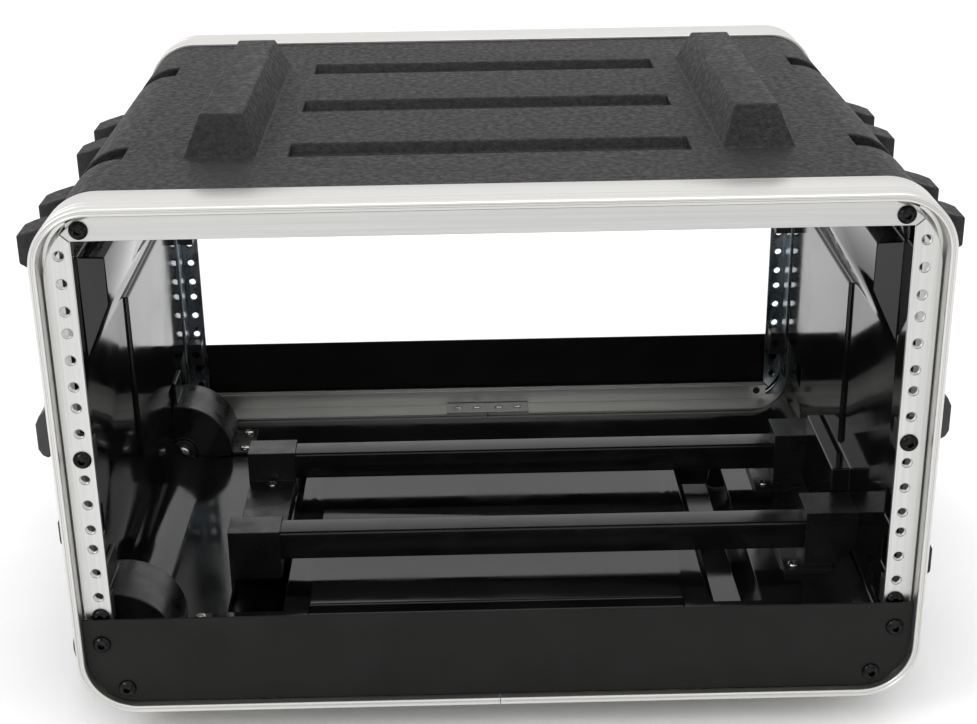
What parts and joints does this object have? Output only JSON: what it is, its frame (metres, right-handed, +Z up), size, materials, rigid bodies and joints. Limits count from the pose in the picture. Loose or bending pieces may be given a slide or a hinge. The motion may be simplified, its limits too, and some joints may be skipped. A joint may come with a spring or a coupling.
{
  "type": "equipment rack case",
  "caption": "Moulded 19-inch equipment rack case with aluminium end frames, rack rails front and rear, side handles, wheels and a pull-out handle.",
  "frame": {"origin": "middle of the plane that the case rests on, under the two lower ridges", "axes": "+X to the right seen from the front, +Y towards the rear, +Z up"},
  "size_m": [0.5404, 0.434, 0.352],
  "materials": {
    "shell": "pebbled outside, glossy inside",
    "frame_metal": "satin anodised",
    "rail_metal": "satin",
    "rear_rail_metal": "bright, bluish",
    "panel_paint": "satin black",
    "black_bolt": "black oxide",
    "tube_paint": "gloss black",
    "tube_metal": "satin",
    "black_plastic": "moulded gloss black",
    "grip_plastic": "fine grain black",
    "button_plastic": "satin grey",
    "plated_steel": "zinc plated",
    "black_steel": "powder coated black",
    "rubber": "soft black",
    "tyre_rubber": "matt black",
    "hub_plastic": "grey plastic"
  },
  "bodies": {
    "case": {"shell": "shell", "front_frame": "frame_metal", "rear_frame": "frame_metal", "front_splice": "frame_metal", "rear_splice": "frame_metal", "splice_rivets": "frame_metal", "front_top_strip": "rail_metal", "rear_top_strip": "rail_metal", "front_bottom_strip": "rail_metal", "rear_bottom_strip": "rail_metal", "front_rail_left": "rail_metal", "front_rail_right": "rail_metal", "rear_rail_left": "rear_rail_metal", "rear_rail_right": "rear_rail_metal", "rail_blocks": "black_steel", "front_panel": "panel_paint", "rear_panel": "panel_paint", "front_bolts": "black_bolt", "rear_bolts": "black_bolt", "outer_tube_front": "tube_paint", "outer_tube_rear": "tube_paint", "lower_bracket": "black_plastic", "upper_housing_front": "black_plastic", "upper_housing_rear": "black_plastic", "bracket_screws": "plated_steel", "wheel_housing_front": "black_plastic", "wheel_housing_rear": "black_plastic", "housing_screws": "plated_steel", "axle_front": "plated_steel", "axle_rear": "plated_steel", "handle_plate_left": "black_steel", "handle_plate_right": "black_steel", "handle_rivets": "plated_steel", "latch_keeper_front_left": "black_steel", "latch_keeper_front_right": "black_steel", "latch_keeper_rear_left": "black_steel", "latch_keeper_rear_right": "black_steel"},
    "middle_tubes": {"middle_tube_front": "tube_metal", "middle_tube_rear": "tube_metal"},
    "pull_handle": {"inner_tube_front": "tube_metal", "inner_tube_rear": "tube_metal", "handle_grip": "grip_plastic"},
    "release": {"release_button": "button_plastic", "release_bar": "plated_steel", "release_rod_front": "plated_steel", "release_rod_rear": "plated_steel"},
    "wheel_front": {"hub_front": "hub_plastic", "tyre_front": "tyre_rubber"},
    "wheel_rear": {"hub_rear": "hub_plastic", "tyre_rear": "tyre_rubber"},
    "bail_left": {"side_handle_left": "black_steel", "side_grip_left": "rubber"},
    "bail_right": {"side_handle_right": "black_steel", "side_grip_right": "rubber"}
  },
  "joints": [
    {"name": "middle_tube_slide", "type": "slide", "parent": "case", "child": "middle_tubes", "axis": [1, 0, 0], "range_m": [0, 0.27]},
    {"name": "handle_slide", "type": "slide", "parent": "middle_tubes", "child": "pull_handle", "axis": [1, 0, 0], "range_m": [0, 0.27]},
    {"name": "button_press", "type": "slide", "parent": "pull_handle", "child": "release", "axis": [-1, 0, 0], "range_m": [0, 0.004], "stiffness_N_per_m": 800},
    {"name": "wheel_front_spin", "type": "hinge", "parent": "case", "child": "wheel_front", "pos_m": [-0.236, -0.139, 0.031], "axis": [0, 1, 0], "continuous": true},
    {"name": "wheel_rear_spin", "type": "hinge", "parent": "case", "child": "wheel_rear", "pos_m": [-0.236, 0.139, 0.031], "axis": [0, 1, 0], "continuous": true},
    {"name": "bail_left_swing", "type": "hinge", "parent": "case", "child": "bail_left", "pos_m": [-0.2445, 0, 0.262], "axis": [0, 1, 0], "range_deg": [0, 90]},
    {"name": "bail_right_swing", "type": "hinge", "parent": "case", "child": "bail_right", "pos_m": [0.2445, 0, 0.262], "axis": [0, -1, 0], "range_deg": [0, 90]}
  ]
}
